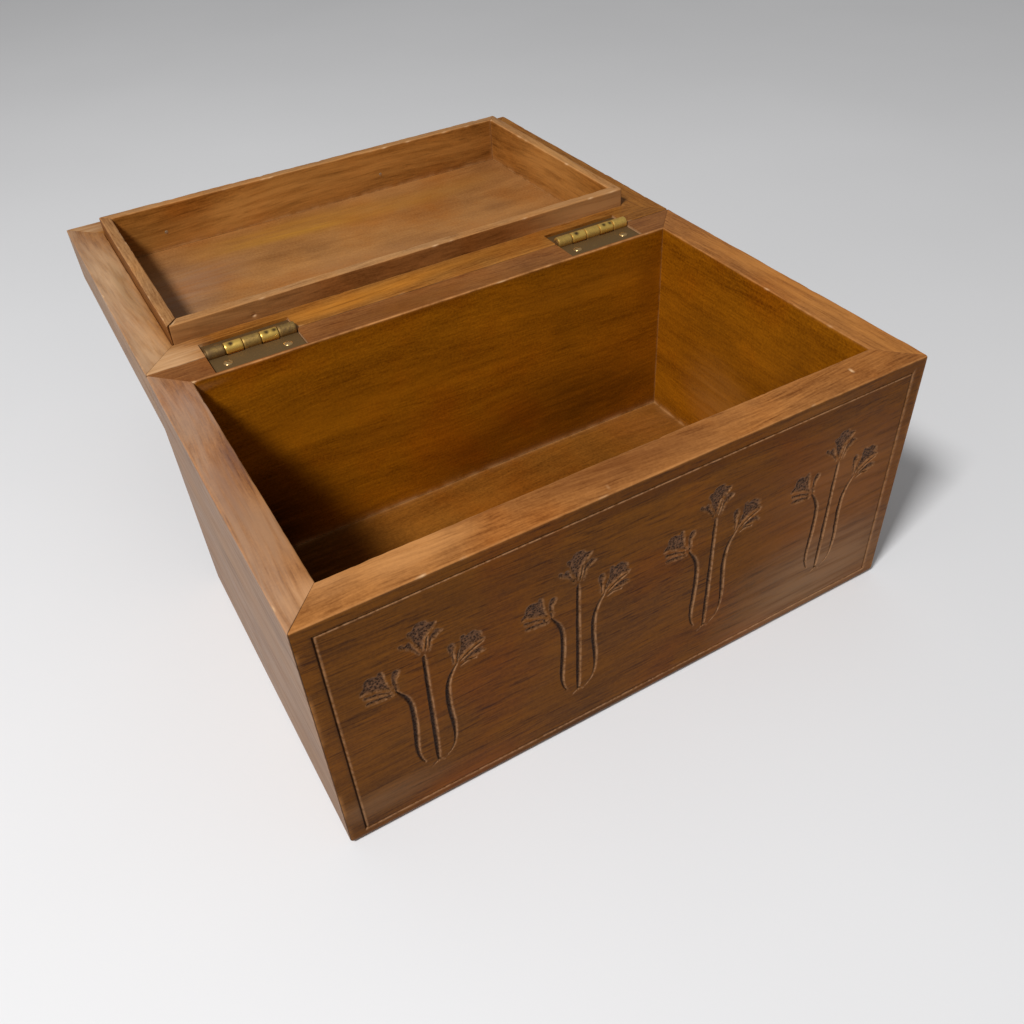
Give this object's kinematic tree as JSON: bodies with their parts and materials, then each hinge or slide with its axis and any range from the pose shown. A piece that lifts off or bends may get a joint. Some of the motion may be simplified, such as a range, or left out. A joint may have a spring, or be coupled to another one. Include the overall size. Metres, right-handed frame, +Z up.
{
  "type": "keepsake box",
  "caption": "Rectangular hardwood keepsake box with mitred corners, a carved front and a hinged lid that opens right back, lined with a raised lip.",
  "frame": {"origin": "middle of the box's underside, on the surface it stands on", "axes": "+X to the right along the front, +Y to the back (the lid lies open that way), +Z up"},
  "size_m": [0.2, 0.2523, 0.0961],
  "materials": {
    "box_wood": "stained hardwood, satin",
    "board_wood": "stained hardwood, satin",
    "lid_wood": "stained hardwood, satin",
    "lip_wood": "stained hardwood, satin",
    "dark_brass": "tarnished brass",
    "worn_brass": "brass polished by wear",
    "screw_brass": "polished brass",
    "brad_steel": "plain steel wire"
  },
  "bodies": {
    "box": {"front_wall": "box_wood", "back_wall": "box_wood", "left_wall": "box_wood", "right_wall": "box_wood", "bottom_board": "board_wood", "left_box_leaf": "dark_brass", "left_hinge_pin": "dark_brass", "left_box_screws": "screw_brass", "right_box_leaf": "dark_brass", "right_hinge_pin": "dark_brass", "right_box_screws": "screw_brass"},
    "lid": {"lid_front_rail": "lid_wood", "lid_back_rail": "lid_wood", "lid_left_rail": "lid_wood", "lid_right_rail": "lid_wood", "lid_board": "board_wood", "lip_front": "lip_wood", "lip_back": "lip_wood", "lip_left": "lip_wood", "lip_right": "lip_wood", "lip_brads": "brad_steel", "left_lid_leaf": "worn_brass", "left_lid_screws": "screw_brass", "right_lid_leaf": "worn_brass", "right_lid_screws": "screw_brass"}
  },
  "joints": [
    {"name": "lid_hinge", "type": "hinge", "parent": "box", "child": "lid", "pos_m": [0, 0.06315, 0.08975], "axis": [1, 0, 0], "range_deg": [0, 180]}
  ]
}
